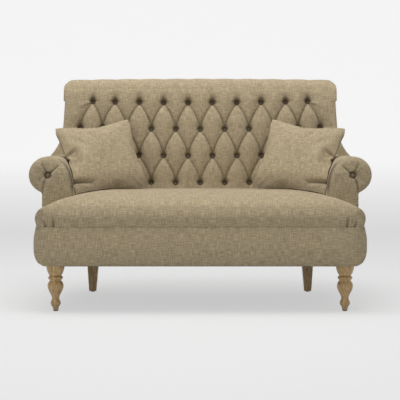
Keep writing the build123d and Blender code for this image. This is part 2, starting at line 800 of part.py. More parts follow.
save(border, "front_border")

# Seat suspension: zigzag springs in clips, a deck cloth over them and a dust cover below
spring_front_y = rail_front_y + rail_thickness / 2
spring_rear_y = raked_y(rail_top, back_panel + rear_rail_thickness / 2)
spring_pitch = (spring_rear_y - spring_front_y) / (2 * spring_waves)
spring_run = spring_width / 2 - spring_wire_radius - spring_pitch / 2
spring_xs = []
for spring in range(spring_count):
    spring_share = 2 * spring / (spring_count - 1) - 1
    spring_xs.append(spring_share * (arm_inner_x - spring_side_gap))

with BuildPart() as one_spring:
    with BuildLine() as spring_path:
        for half_wave in range(2 * spring_waves):
            way = 1 if half_wave % 2 == 0 else -1
            y = spring_front_y + half_wave * spring_pitch
            Line((-way * spring_run, y, spring_z), (way * spring_run, y, spring_z))
            ThreePointArc(
                (way * spring_run, y, spring_z),
                (way * (spring_run + spring_pitch / 2), y + spring_pitch / 2, spring_z),
                (way * spring_run, y + spring_pitch, spring_z),
            )
        Line((-spring_run, spring_rear_y, spring_z), (spring_run, spring_rear_y, spring_z))
    wire_start = Plane(origin=(-spring_run, spring_front_y, spring_z), z_dir=(1, 0, 0))
    with BuildSketch(wire_start):
        Circle(spring_wire_radius)
    sweep(path=spring_path.wires()[0])

with BuildPart() as springs:
    with Locations(*[(x, 0, 0) for x in spring_xs]):
        add(one_spring.part)
save(springs, "seat_springs")

with BuildPart() as clips:
    for clip_y, tail_way in ((spring_front_y, -1), (spring_rear_y, 1)):
        for x in spring_xs:
            tail_near = (x - clip_width / 2, clip_y, rail_top)
            tail_far = (x + clip_width / 2, clip_y + tail_way * (clip_radius + clip_tail), rail_top + clip_wall)
            block(tail_near, tail_far)
            bars([(x, clip_y, spring_z)], clip_radius, clip_width, "X", Mode.ADD)
            bars([(x, clip_y, spring_z)], clip_radius - clip_wall, clip_width, "X")
save(clips, "spring_clips")

with BuildPart() as deck_cloth:
    deck_x = post_inner_x - clearance
    block((-deck_x, rail_front_y, deck_z), (deck_x, spring_rear_y + clip_radius, foam_z))
save(deck_cloth, "seat_deck")

rear_foot_x = rear_leg_x + rear_leg_splay_out
rear_foot_y = rear_leg_y + rear_leg_kick_back
with BuildPart() as dust_sheet:
    sheet_x = rail_outer_x - dust_cover_inset
    sheet_rear_y = raked_y(base_z, back_panel) - dust_cover_inset
    block((-sheet_x, rail_front_y + dust_cover_inset, base_z - dust_cover), (sheet_x, sheet_rear_y, base_z))
    bars(both_sides([(leg_x, leg_y, base_z)]), front_leg_top_radius + dust_cover_leg_gap, 2 * leg_height, "Z")
    opening_x = rear_leg_top_width / 2 + dust_cover_leg_gap
    opening_y = rear_leg_top_depth / 2 + dust_cover_leg_gap
    for side in (1, -1):
        block(
            (side * (rear_leg_x - opening_x), rear_leg_y - opening_y, 0),
            (side * (rear_leg_x + opening_x), rear_y, 2 * base_z),
            Mode.SUBTRACT,
        )
save(dust_sheet, "dust_cover")

# Legs, glides and leg bolts
leg_bolt_bore = bolt_in_leg + clearance
nail_bore = glide_nail_length + clearance
with BuildPart() as front_leg:
    with BuildSketch(Plane(origin=(leg_x, leg_y, glide_height), x_dir=(1, 0, 0), z_dir=(0, -1, 0))):
        with BuildLine():
            ring_low = front_leg_neck_height - front_leg_ring_height
            ring_root = front_leg_neck_radius + front_leg_ring_step
            Line((0, leg_height), (front_leg_top_radius, leg_height))
            TangentArc(
                (front_leg_top_radius, leg_height),
                (front_leg_neck_radius, front_leg_neck_height),
                tangent=(0, -1),
            )
            Line((front_leg_neck_radius, front_leg_neck_height), (ring_root, front_leg_neck_height))
            ThreePointArc(
                (ring_root, front_leg_neck_height),
                (front_leg_ring_radius, (front_leg_neck_height + ring_low) / 2),
                (ring_root, ring_low),
            )
            Line((ring_root, ring_low), front_leg_vase[0])
            Spline(*front_leg_vase, (front_leg_foot_radius, 0))
            Polyline((front_leg_foot_radius, 0), (0, 0), (0, leg_height))
        make_face()
    revolve(axis=Axis((leg_x, leg_y, 0), (0, 0, 1)))
    bars([(leg_x, leg_y, base_z)], bolt_hole, 2 * leg_bolt_bore, "Z")
    bars([(leg_x, leg_y, glide_height)], glide_nail_radius + bolt_hole_clearance, 2 * nail_bore, "Z")
save_pair(front_leg, "front_leg")

with BuildPart() as rear_leg:
    with BuildSketch(Plane.XY.offset(base_z)):
        with Locations((rear_leg_x, rear_leg_y)):
            Rectangle(rear_leg_top_width, rear_leg_top_depth)
    with BuildSketch(Plane.XY.offset(glide_height)):
        with Locations((rear_foot_x, rear_foot_y)):
            Rectangle(rear_leg_foot_side, rear_leg_foot_side)
    loft()
    bars([(rear_leg_x, rear_leg_y, base_z)], bolt_hole, 2 * leg_bolt_bore, "Z")
    bars([(rear_foot_x, rear_foot_y, glide_height)], glide_nail_radius + bolt_hole_clearance, 2 * nail_bore, "Z")
save_pair(rear_leg, "rear_leg")

with BuildPart() as bolts:
    bars(both_sides(leg_bolts), bolt_radius, bolt_length, "Z", Mode.ADD)
save(bolts, "leg_bolts")

with BuildPart() as tee_nuts:
    block_top = base_z + corner_block_height
    bars(both_sides([nut_seat]), tee_nut_barrel_radius, tee_nut_barrel, "Z", Mode.ADD)
    flange_middle = (leg_x, leg_y, block_top + tee_nut_flange / 2)
    bars(both_sides([flange_middle]), tee_nut_flange_radius, tee_nut_flange, "Z", Mode.ADD)
    bars(both_sides([(leg_x, leg_y, block_top)]), bolt_hole, 2 * tee_nut_barrel, "Z")
save(tee_nuts, "leg_tee_nuts")

with BuildPart() as glides:
    feet = both_sides([(leg_x, leg_y, glide_height / 2), (rear_foot_x, rear_foot_y, glide_height / 2)])
    bars(feet, glide_radius, glide_height, "Z", Mode.ADD)
    nails = [(x, y, glide_height + glide_nail_length / 2) for x, y, _ in feet]
    bars(nails, glide_nail_radius, glide_nail_length, "Z", Mode.ADD)
save(glides, "leg_glides")

# Scatter cushions: knife-edged, leaning on the back and nestling against the arm and the seat
cushion_middle = (
    arm_inner_x - cushion_from_arm,
    raked_y(seat_height, back_thickness) - cushion_from_back,
    seat_height + cushion_rise,
)
cushion_turned = Location(cushion_middle, (0, 0, -cushion_turn))
cushion_leaned = cushion_turned * Location((0, 0, 0), (90 - cushion_lean, 0, 0))
cushion_place = cushion_leaned * Location((0, 0, 0), (0, 0, -cushion_tilt))


def cushion_body(inset):
    """A cushion lying flat on the origin, smaller by the inset all round."""
    half = cushion_side / 2 - inset
    edge = cushion_edge / 2 - inset
    crown = cushion_thickness / 2 - inset
    drawn = half - cushion_draw_in
    with BuildPart() as body:
        with BuildSketch():
            with BuildLine():
                ThreePointArc((-half, -half), (0, -drawn), (half, -half))
                ThreePointArc((half, -half), (drawn, 0), (half, half))
                ThreePointArc((half, half), (0, drawn), (-half, half))
                ThreePointArc((-half, half), (-drawn, 0), (-half, -half))
            make_face()
        extrude(amount=cushion_thickness, both=True)
        for plane in (Plane.XZ, Plane.YZ):
            with BuildSketch(plane):
                with BuildLine():
                    ThreePointArc((-half, -edge), (0, -crown), (half, -edge))
                    Line((half, -edge), (half, edge))
                    ThreePointArc((half, edge), (0, crown), (-half, edge))
                    Line((-half, edge), (-half, -edge))
                make_face()
            extrude(amount=cushion_side, both=True, mode=Mode.INTERSECT)
    return body.part


with BuildPart() as arm_envelope:
    extrude(arm_section(arm_outer_x, arm_front_y), amount=-overall_depth)


def settle(margin):
    """Presses the cushion's low corner flat where it meets the seat and the arm."""
    wall_x = arm_inner_x - cushion_overhang - margin
    block((wall_x, arm_front_y, 0), (half_width, rear_y, arm_rail_z), Mode.SUBTRACT)
    with Locations((-margin, 0, 0)):
        add(arm_envelope.part, mode=Mode.SUBTRACT)
    with Locations((0, 0, margin)):
        add(seat_foam.part, mode=Mode.SUBTRACT)


with BuildPart() as cushion_fill:
    with Locations(cushion_place):
        add(cushion_body(cushion_cover))
    settle(clearance + cushion_cover)
save_pair(cushion_fill, "cushion_fill")

with BuildPart() as cushion_shell:
    with Locations(cushion_place):
        add(cushion_body(0))
    settle(clearance)
    add(cushion_fill.part, mode=Mode.SUBTRACT)
save_pair(cushion_shell, "cushion_cover")
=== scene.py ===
# %% [markdown]
# # A deep-buttoned two-seater sofa
# The timber frame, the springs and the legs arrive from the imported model. This lesson dresses that frame:
# padded back, arms, seat and border, two loose cushions, woven linen over all of it, and turned oak legs.
# Everything is in metres, with +Y to the sofa's back and +Z up.

# %% Load the frame
import json
from math import cos, pi, radians, sin

import bmesh
import bpy
import numpy as np
from mathutils import Euler, Matrix, Vector
from mathutils.kdtree import KDTree


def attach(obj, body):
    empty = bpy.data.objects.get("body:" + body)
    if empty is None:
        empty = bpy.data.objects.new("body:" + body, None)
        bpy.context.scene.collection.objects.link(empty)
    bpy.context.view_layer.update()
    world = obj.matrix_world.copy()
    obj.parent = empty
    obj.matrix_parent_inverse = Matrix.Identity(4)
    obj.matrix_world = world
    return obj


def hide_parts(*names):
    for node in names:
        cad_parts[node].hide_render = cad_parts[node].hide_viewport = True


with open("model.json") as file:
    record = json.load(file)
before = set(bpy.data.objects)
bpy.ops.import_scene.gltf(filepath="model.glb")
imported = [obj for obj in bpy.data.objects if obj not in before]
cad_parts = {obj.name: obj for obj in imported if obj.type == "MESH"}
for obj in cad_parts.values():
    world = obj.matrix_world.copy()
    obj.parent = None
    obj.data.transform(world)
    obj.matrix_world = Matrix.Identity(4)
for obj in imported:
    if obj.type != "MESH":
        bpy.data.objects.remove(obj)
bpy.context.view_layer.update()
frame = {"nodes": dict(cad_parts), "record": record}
cad = frame["nodes"]

# %% [markdown]
# ## Camera, light and floor
# The photograph was taken from straight in front with a long lens, a little below the top of the back.
# A lens of about 100 mm, 4.8 m away, gives the same narrow spread between the front and the rear feet.
# The studio is a pale sweep: a floor that curves up into a wall, so that no edge shows behind the sofa.

# %% Camera
camera_data = bpy.data.cameras.new("photo_camera")
camera_data.lens = 101.0
camera_data.sensor_width = 36.0
camera = bpy.data.objects.new("photo_camera", camera_data)
camera.location = (-0.001, -4.8075, 0.682)
camera.rotation_euler = Euler((radians(90 - 3.0), 0, 0))
bpy.context.scene.collection.objects.link(camera)
bpy.context.scene.camera = camera
bpy.context.scene.view_settings.view_transform = "Standard"
print("camera at", tuple(camera.location))


# %% Helpers for materials
def linear(hex_colour):
    """An sRGB hex colour as linear RGBA."""
    channels = [int(hex_colour[i : i + 2], 16) / 255 for i in (1, 3, 5)]
    return (*[c / 12.92 if c <= 0.04045 else ((c + 0.055) / 1.055) ** 2.4 for c in channels], 1.0)


def add_node(tree, kind, settings=None, values=None, links=None):
    """Adds a shader node, sets its properties and socket values, and links other nodes' outputs to it."""
    made = tree.nodes.new(kind)
    for key, value in (settings or {}).items():
        setattr(made, key, value)
    for key, value in (values or {}).items():
        made.inputs[key].default_value = value
    for key, output in (links or {}).items():
        tree.links.new(output, made.inputs[key])
    return made


def new_material(name):
    """An empty material with its shader and the node tree to fill."""
    material = bpy.data.materials.new(name)
    material.use_nodes = True
    return material, material.node_tree, material.node_tree.nodes["Principled BSDF"]


# %% Floor sweep and lights
def sweep_floor():
    """A floor that curves up into a wall behind the sofa."""
    bm = bmesh.new()
    wall_start, bend_radius, steps = 3.3, 3.0, 24
    line = [(-7.0, 0.0), (wall_start, 0.0)]
    for step in range(1, steps + 1):
        turn = pi / 2 * step / steps
        line.append((wall_start + bend_radius * sin(turn), bend_radius * (1 - cos(turn))))
    line.append((wall_start + bend_radius, 9.0))
    verts = [bm.verts.new((-9.0, y, z)) for y, z in line]
    edges = [bm.edges.new(pair) for pair in zip(verts, verts[1:])]
    made = bmesh.ops.extrude_edge_only(bm, edges=edges)
    moved = [item for item in made["geom"] if isinstance(item, bmesh.types.BMVert)]
    bmesh.ops.translate(bm, verts=moved, vec=(18.0, 0, 0))
    bmesh.ops.recalc_face_normals(bm, faces=bm.faces)
    mesh = bpy.data.meshes.new("studio_sweep")
    bm.to_mesh(mesh)
    bm.free()
    mesh.shade_smooth()
    return bpy.data.objects.new("studio_sweep", mesh)


def paper_material():
    """Matt white studio paper: the camera sees a pale tone with a soft shadow, the sofa a dimmer bounce."""
    material, tree, shader = new_material("matt_studio_paper")
    shader.inputs["Base Color"].default_value = linear("#D4D4D4")
    shader.inputs["Roughness"].default_value = 0.9
    place = add_node(tree, "ShaderNodeTexCoord").outputs["Object"]
    height = add_node(tree, "ShaderNodeSeparateXYZ", links={0: place})
    tone = add_node(tree, "ShaderNodeValToRGB", links={"Fac": height.outputs["Z"]})
    tone.color_ramp.elements[0].color = linear("#D9D9D9")
    tone.color_ramp.elements[1].position = 0.5
    tone.color_ramp.elements[1].color = linear("#FFFFFF")
    glow = add_node(
        tree,
        "ShaderNodeEmission",
        values={"Strength": 1.44},
        links={"Color": tone.outputs["Color"]},
    )
    rays = add_node(tree, "ShaderNodeLightPath").outputs
    seen = rays["Is Camera Ray"]
    for ray in ("Is Glossy Ray", "Is Transmission Ray"):
        either = add_node(tree, "ShaderNodeMath", {"operation": "MAXIMUM"}, links={0: seen, 1: rays[ray]})
        seen = either.outputs[0]
    share = add_node(tree, "ShaderNodeMath", {"operation": "MULTIPLY"}, {1: 0.53}, {0: seen})
    blend = add_node(
        tree,
        "ShaderNodeMixShader",
        links={0: share.outputs[0], 1: shader.outputs["BSDF"], 2: glow.outputs["Emission"]},
    )
    tree.links.new(blend.outputs["Shader"], tree.nodes["Material Output"].inputs["Surface"])
    return material


paper = paper_material()
floor = sweep_floor()
floor.data.materials.append(paper)
bpy.context.scene.collection.objects.link(floor)

world = bpy.data.worlds.new("studio")
world.use_nodes = True
world.node_tree.nodes["Background"].inputs["Color"].default_value = linear("#FFFFFF")
world.node_tree.nodes["Background"].inputs["Strength"].default_value = 0.40
bpy.context.scene.world = world


def area_light(name, place, aim, size, power):
    """A soft rectangular lamp that points at a place."""
    data = bpy.data.lights.new(name, "AREA")
    data.shape = "RECTANGLE"
    data.size, data.size_y = size
    data.energy = power
    lamp = bpy.data.objects.new(name, data)
    lamp.location = place
    lamp.rotation_euler = (Vector(aim) - Vector(place)).to_track_quat("-Z", "Y").to_euler()
    bpy.context.scene.collection.objects.link(lamp)


area_light("key_above", (-0.2, -0.45, 3.4), (0, -0.1, 0.4), (3.0, 1.6), 76)
area_light("fill_front", (-1.6, -4.5, 1.9), (0, 0, 0.5), (2.0, 2.0), 28)
print("studio ready")

# %% [markdown]
# ## Linen, oak and the hidden materials
# The cover is a plain-woven linen. Its threads are uneven, so thicker stretches, called slubs, show as short
# streaks along both thread directions. Each padded piece gets a map in metres, and the streaks follow it.
# One thread is about 0.8 mm wide, too fine for this picture, so the streaks are drawn 3.4 mm wide.
# Folds, wells, buttons and low, tucked-in parts need a darker tone than the light alone gives, so each piece
# also carries a painted shade value at each vertex.


# %% Linen
def linen_material():
    """Plain-woven slubby linen: matt, a little fuzzy, with uneven warp and weft."""
    material, tree, shader = new_material("slubby_linen")
    uv = add_node(tree, "ShaderNodeUVMap", {"uv_map": "weave"}).outputs["UV"]
    slub_width, slub_length = 0.0034, 0.032
    threads = []
    for across, along in ((slub_width, slub_length), (slub_length, slub_width)):
        stretch = add_node(
            tree,
            "ShaderNodeMapping",
            values={"Scale": (1 / across, 1 / along, 1)},
            links={"Vector": uv},
        )
        noise = add_node(
            tree,
            "ShaderNodeTexNoise",
            {"noise_dimensions": "2D"},
            {"Scale": 1.0, "Detail": 3.0, "Roughness": 0.6},
            {"Vector": stretch.outputs["Vector"]},
        )
        threads.append(noise.outputs["Fac"])
    weave = add_node(tree, "ShaderNodeMath", {"operation": "ADD"}, links={0: threads[0], 1: threads[1]})
    half = add_node(tree, "ShaderNodeMath", {"operation": "MULTIPLY"}, {1: 0.5}, {0: weave.outputs[0]})
    cloud = add_node(
        tree,
        "ShaderNodeTexNoise",
        {"noise_dimensions": "2D"},
        {"Scale": 14.0, "Detail": 2.0},
        {"Vector": uv},
    )
    mixed = add_node(
        tree,
        "ShaderNodeMix",
        {"data_type": "FLOAT"},
        {"Factor": 0.05},
        {2: half.outputs[0], 3: cloud.outputs["Fac"]},
    )
    ramp = add_node(tree, "ShaderNodeValToRGB", links={"Fac": mixed.outputs[0]})
    ramp.color_ramp.elements[0].position = 0.36
    ramp.color_ramp.elements[0].color = linear("#93856B")
    ramp.color_ramp.elements[1].position = 0.64
    ramp.color_ramp.elements[1].color = linear("#BFB091")
    middle = ramp.color_ramp.elements.new(0.5)
    middle.color = linear("#A9997C")
    # Painted shade: where a piece's painted shade value is high, the linen's colour is mixed towards dark
    # brown
    painted_shade = add_node(tree, "ShaderNodeAttribute", {"attribute_name": "painted_shade"})
    shade = add_node(
        tree,
        "ShaderNodeMix",
        {"data_type": "RGBA", "blend_type": "MIX"},
        {7: linear("#2E2414")},
        {0: painted_shade.outputs["Fac"], 6: ramp.outputs["Color"]},
    )
    tree.links.new(shade.outputs[2], shader.inputs["Base Color"])
    bump = add_node(
        tree,
        "ShaderNodeBump",
        values={"Strength": 0.35, "Distance": 0.0012},
        links={"Height": half.outputs[0]},
    )
    tree.links.new(bump.outputs["Normal"], shader.inputs["Normal"])
    shader.inputs["Roughness"].default_value = 0.92
    shader.inputs["Specular IOR Level"].default_value = 0.2
    shader.inputs["Sheen Weight"].default_value = 0.12
    shader.inputs["Sheen Roughness"].default_value = 0.5
    return material


linen = linen_material()
print("linen ready:", len(linen.node_tree.nodes), "nodes")


# %% Woods and the hidden materials
def wood_material(name, pale, dark, grain_width, length_ratio, roughness, coat):
    """Straight-grained timber with the grain along Z: streaks of early and late wood and fine pores."""
    material, tree, shader = new_material(name)
    place = add_node(tree, "ShaderNodeTexCoord").outputs["Object"]
    across = 1 / grain_width
    stretch = add_node(
        tree,
        "ShaderNodeMapping",
        values={"Scale": (across, across, across / length_ratio)},
        links={"Vector": place},
    )
    streaks = add_node(
        tree,
        "ShaderNodeTexNoise",
        values={"Scale": 1.0, "Detail": 5.0, "Roughness": 0.62, "Distortion": 0.5},
        links={"Vector": stretch.outputs["Vector"]},
    )
    ramp = add_node(tree, "ShaderNodeValToRGB", links={"Fac": streaks.outputs["Fac"]})
    ramp.color_ramp.elements[0].position = 0.32
    ramp.color_ramp.elements[0].color = linear(dark)
    ramp.color_ramp.elements[1].position = 0.66
    ramp.color_ramp.elements[1].color = linear(pale)
    tree.links.new(ramp.outputs["Color"], shader.inputs["Base Color"])
    bump = add_node(
        tree,
        "ShaderNodeBump",
        values={"Strength": 0.15, "Distance": 0.0006},
        links={"Height": streaks.outputs["Fac"]},
    )
    tree.links.new(bump.outputs["Normal"], shader.inputs["Normal"])
    shader.inputs["Roughness"].default_value = roughness
    shader.inputs["Coat Weight"].default_value = coat
    shader.inputs["Coat Roughness"].default_value = 0.22
    return material


def plain_material(name, pale, dark, grit, roughness, metallic=0.0):
    """A surface with a fine mottle of two close colours."""
    material, tree, shader = new_material(name)
    place = add_node(tree, "ShaderNodeTexCoord").outputs["Object"]
    mottle = add_node(
        tree,
        "ShaderNodeTexNoise",
        values={"Scale": 1 / grit, "Detail": 3.0},
        links={"Vector": place},
    )
    ramp = add_node(tree, "ShaderNodeValToRGB", links={"Fac": mottle.outputs["Fac"]})
    ramp.color_ramp.elements[0].color = linear(dark)
    ramp.color_ramp.elements[1].color = linear(pale)
    tree.links.new(ramp.outputs["Color"], shader.inputs["Base Color"])
    shader.inputs["Roughness"].default_value = roughness
    shader.inputs["Metallic"].default_value = metallic
    return material


# Turned and lacquered oak: honey streaks under a thin satin coat
oak = wood_material("lacquered_oak", "#D0B07C", "#8E6C3A", 0.006, 14.0, 0.42, 0.35)
# Sawn beech: an even pinkish brown without a coat
beech = wood_material("sawn_beech", "#C9A67C", "#A47F54", 0.008, 10.0, 0.7, 0.0)
# Woven jute: dull straw brown
jute = plain_material("jute_webbing", "#9C8763", "#6E5C40", 0.004, 0.95)
# Spun polypropylene lining: matt black
lining = plain_material("spun_black_lining", "#2A2A2A", "#161616", 0.003, 0.95)
# Zinc-plated steel: pale grey with soft reflections
zinc = plain_material("bright_zinc", "#C2C3C6", "#9A9B9E", 0.01, 0.35, 1.0)
# Moulded nylon: dark brown with a low sheen
nylon = plain_material("moulded_nylon", "#3B352F", "#2C2722", 0.005, 0.5)
# Bonded polyester wadding: soft off-white
wadding = plain_material("polyester_wadding", "#EDE8DC", "#DAD3C2", 0.006, 0.95)
print("materials ready")

# %% [markdown]
# ## Helpers for padded pieces
# Upholstery has no hard edges. A simple block can be turned into an even skin of small faces with the
# Remesh modifier in voxel mode, and the Smooth modifier then rounds that skin, as wadding rounds a frame.
# Overlapping blocks melt into one skin on the way, so a padded form can start from plain extruded outlines.


# %% Helpers for shapes
def arc(centre, radius, start, stop, steps=14):
    """Points along an arc, with its angles in degrees."""
    turns = np.radians(np.linspace(start, stop, steps + 1))
    return [(centre[0] + radius * cos(turn), centre[1] + radius * sin(turn)) for turn in turns]


def climb(value, start, stop):
    """0 at start and before it, 1 from stop on, straight in between; stop may be the smaller one."""
    return np.clip((value - start) / (stop - start), 0, 1)


def bell(distance, width, power=2):
    """1 on a line, fading out within about two widths; a higher power gives a flatter top."""
    return np.exp(-((distance / width) ** power))


def point_tree(points):
    """A search tree that finds the nearest of many flat points."""
    tree = KDTree(len(points))
    for index, (across, along) in enumerate(points):
        tree.insert((across, along, 0), index)
    tree.balance()
    return tree


def object_from(bm, name):
    """A new object at the origin with the bmesh's shape, its faces pointing outwards."""
    bmesh.ops.recalc_face_normals(bm, faces=bm.faces)
    mesh = bpy.data.meshes.new(name)
    bm.to_mesh(mesh)
    bm.free()
    made = bpy.data.objects.new(name, mesh)
    bpy.context.scene.collection.objects.link(made)
    return made


def add_prism(bm, points, push):
    """Adds a flat outline that is pushed out into a block."""
    face = bm.faces.new([bm.verts.new(point) for point in points])
    made = bmesh.ops.extrude_face_region(bm, geom=[face])
    moved = [item for item in made["geom"] if isinstance(item, bmesh.types.BMVert)]
    bmesh.ops.translate(bm, verts=moved, vec=push)


def prism(name, points, push):
    """An object that is one pushed-out outline."""
    bm = bmesh.new()
    add_prism(bm, points, push)
    return object_from(bm, name)


def bake_modifiers(piece):
    """Replaces a piece's mesh by what its modifiers make of it."""
    graph = bpy.context.evaluated_depsgraph_get()
    made = bpy.data.meshes.new_from_object(piece.evaluated_get(graph))
    piece.modifiers.clear()
    old = piece.data
    piece.data = made
    bpy.data.meshes.remove(old)


def upholster(piece, voxel, rounds):
    """Gives a blocky piece an even padded skin and rounds it."""
    skin = piece.modifiers.new("skin", "REMESH")
    skin.mode = "VOXEL"
    skin.voxel_size = voxel
    soft = piece.modifiers.new("soft", "SMOOTH")
    soft.factor = 0.5
    soft.iterations = rounds
    bake_modifiers(piece)


def vertex_array(piece, key="co"):
    """A piece's vertex positions or normals as an array with three columns."""
    flat = np.zeros(len(piece.data.vertices) * 3, np.float32)
    piece.data.vertices.foreach_get(key, flat)
    return flat.reshape(-1, 3).astype(float)


def place_vertices(piece, places):
    """Moves a piece's vertices to new places."""
    piece.data.vertices.foreach_set("co", places.astype(np.float32).ravel())
    piece.data.update()


def paint_shade(piece, amount):
    """Stores painted shade at each vertex, from 0 to 1, for the linen to darken towards dark brown."""
    layer = piece.data.attributes.new("painted_shade", "FLOAT", "POINT")
    layer.data.foreach_set("value", np.clip(amount, 0, 1).astype(np.float32))


def weave_map(piece):
    """Lays the thread directions on a piece, in metres, from the side that each face looks to."""
    mesh = piece.data
    corners = np.zeros(len(mesh.loops), np.int32)
    mesh.loops.foreach_get("vertex_index", corners)
    normals = np.zeros(len(mesh.polygons) * 3, np.float32)
    mesh.polygons.foreach_get("normal", normals)
    sizes = np.zeros(len(mesh.polygons), np.int32)
    mesh.polygons.foreach_get("loop_total", sizes)
    side = np.repeat(np.abs(normals.reshape(-1, 3)).argmax(1), sizes)
    spot = vertex_array(piece)[corners]
    across = np.where(side == 0, spot[:, 1], spot[:, 0])
    along = np.where(side == 2, spot[:, 1], spot[:, 2])
    layer = mesh.uv_layers.new(name="weave")
    layer.data.foreach_set("uv", np.stack([across, along], 1).astype(np.float32).ravel())


def dress(piece, material, slot, body, *nodes, fill=None):
    """Finishes a piece: material, smooth shading, the body it rides on and the CAD nodes it stands for."""
    piece.data.materials.clear()
    piece.data.materials.append(material)
    piece.data.shade_smooth()
    if material is linen and "weave" not in piece.data.uv_layers:
        weave_map(piece)
    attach(piece, body)
    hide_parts(*nodes)
    print(piece.name, len(piece.data.polygons), "faces")


# %% [markdown]
# ## The deep-buttoned back
# Deep buttoning pulls the cover down to the webbing at each button, and the spare cloth folds into pleats
# that run from button to button and outline pointed diamonds. A cloth simulation could pull the buttons in,
# but the pleats would fall where the solver likes. Here a smooth leaning slab is pushed in by a height field:
# each vertex sinks by its distance to the nearest pleat and the nearest button, so the pattern is exact.

# %% Sizes of the back
rake = radians(11.0)
base_z, back_foot_y = 0.184, 0.26405
back_thickness, top_front_w, top_front_radius, top_rear_radius = 0.165, 0.095, 0.070, 0.050
top_front_v = 0.70075
back_top_v = top_front_v + top_front_radius
top_rear_v = back_top_v - top_rear_radius
panel_thickness, panel_gap = 0.006, 0.001
roll_x, roll_z, roll_radius = 0.614, 0.545, 0.076
shoulder_centre, shoulder_radius = (0.812, 0.755), 0.200
# The flare leaves the roll 15 degrees above its outermost line and rounds a blunt corner on the way in
roll_leave, shoulder_start, roll_corner = 15, 228.6, [(0.688, 0.580), (0.686, 0.594)]
back_half, back_top_z, back_corner = 0.612, 0.962, 0.042
inset_depth, inset_foot_z, inset_rise = 0.0065, 0.735, 0.127


def raked(v, w):
    """Y and Z of the point v up the back's slope and w forward from its rear face."""
    return back_foot_y + v * sin(rake) - w * cos(rake), base_z + v * cos(rake) + w * sin(rake)


def raked_v(z, w):
    """How far up the slope the plane w reaches the height z."""
    return (z - base_z - w * sin(rake)) / cos(rake)


def rear_plane_y(z, w):
    """Y of the back's plane w at the height z."""
    return raked(raked_v(z, w), w)[0]


def side_inset(z):
    """How far the back's sides are drawn in at each height, up to the top roll."""
    return inset_depth * np.clip((z - inset_foot_z) / inset_rise, 0, 1)


def back_outline(side_x, bottom_z):
    """The back seen from the front, as X and Z: straight sides that flare out over the arm rolls."""
    roll_low = -np.degrees(np.arccos((side_x - roll_x) / roll_radius))
    right = [(side_x, bottom_z)]
    right += arc((roll_x, roll_z), roll_radius, roll_low, roll_leave)
    right += roll_corner
    right += arc(shoulder_centre, shoulder_radius, shoulder_start, 180)
    right += [(back_half, z) for z in np.linspace(0.76, 0.91, 31)]
    right += arc((back_half - back_corner, back_top_z - back_corner), back_corner, 0, 90)
    return right + [(-x, z) for x, z in reversed(right)]


print("back outline:", len(back_outline(back_half, base_z)), "points")

# %% The back's slab
back_bottom_z, pad_side_x = 0.36, 0.6197
profile = [raked(raked_v(back_bottom_z, back_thickness), back_thickness)]
profile += [raked(top_front_v + a, top_front_w + b) for b, a in arc((0, 0), top_front_radius, 0, 90)]
profile += [raked(top_rear_v + a, top_rear_radius + b) for b, a in arc((0, 0), top_rear_radius, 90, 180)]
profile += [raked(raked_v(back_bottom_z, panel_thickness), panel_thickness)]
outline = back_outline(pad_side_x, back_bottom_z)
back = prism("buttoned_back", [(x, -0.6, z) for x, z in outline], (0, 1.2, 0))
cutter = prism("back_profile", [(-0.8, y, z) for y, z in profile], (1.6, 0, 0))
meet = back.modifiers.new("meet", "BOOLEAN")
meet.operation = "INTERSECT"
meet.object = cutter
bake_modifiers(back)
bpy.data.objects.remove(cutter)
upholster(back, 0.0036, 14)
print("back slab:", len(back.data.vertices), "vertices")

# %% Buttons and pleats as lines on the back
column_pitch, row_pitch, top_row_z = 0.1093, 0.119, 0.855
edge_draw, edge_lift = 0.010, 0.010
button_rows = []
for row, count in enumerate((10, 11, 10, 9)):
    places = []
    for column in range(count):
        x = (column - (count - 1) / 2) * column_pitch
        if column in (0, count - 1):
            x -= edge_draw * np.sign(x)
        row_v = raked_v(top_row_z - row * row_pitch, back_thickness)
        places.append((x, row_v + edge_lift * (x / back_half) ** 2))
    button_rows.append(places)

print("buttons:", [len(places) for places in button_rows])

# %% Pleats between the buttons
pleat_points, pleat_depths, pleat_shades = [], [], []
pleat_steps = 48


def add_pleat(start, end, depths, shades, bow=1.6):
    """Samples a pleat that leaves its upper button at a slant and reaches the lower one upright."""
    for t in np.linspace(0, 1, pleat_steps):
        share = 1 - (1 - t) ** bow
        pleat_points.append((start[0] + (end[0] - start[0]) * share, start[1] + (end[1] - start[1]) * t))
        pleat_depths.append(depths[0] + (depths[1] - depths[0]) * t)
        pleat_shades.append(shades[0] + (shades[1] - shades[0]) * t)


for upper, lower in zip(button_rows, button_rows[1:]):
    for start in upper:
        for end in lower:
            if abs(end[0] - start[0]) < column_pitch:
                add_pleat(start, end, (1.0, 1.0), (1.0, 1.0))
for place in button_rows[0]:
    add_pleat(place, (place[0], top_front_v + top_front_radius * 0.8), (0.45, 0.0), (0.1, 0.0), 1.0)
for place in button_rows[-1]:
    add_pleat(place, (place[0], raked_v(0.40, back_thickness)), (0.8, 0.8), (0.6, 0.6), 1.0)
for row, depth in ((0, 0.12), (1, 0.30), (2, 0.30)):
    for place in (button_rows[row][0], button_rows[row][-1]):
        add_pleat(place, (np.sign(place[0]) * 0.66, place[1] + 0.012), (depth, 0.05), (0.0, 0.0), 1.0)
print("pleats:", len(pleat_points) // pleat_steps)

# %% [markdown]
# Each vertex of the slab gets a place on the cover: its X, and the length of cloth from the back's foot up
# the front and over the top roll. The wells and pleats are drawn on that flat map, so they also run over the
# roll.

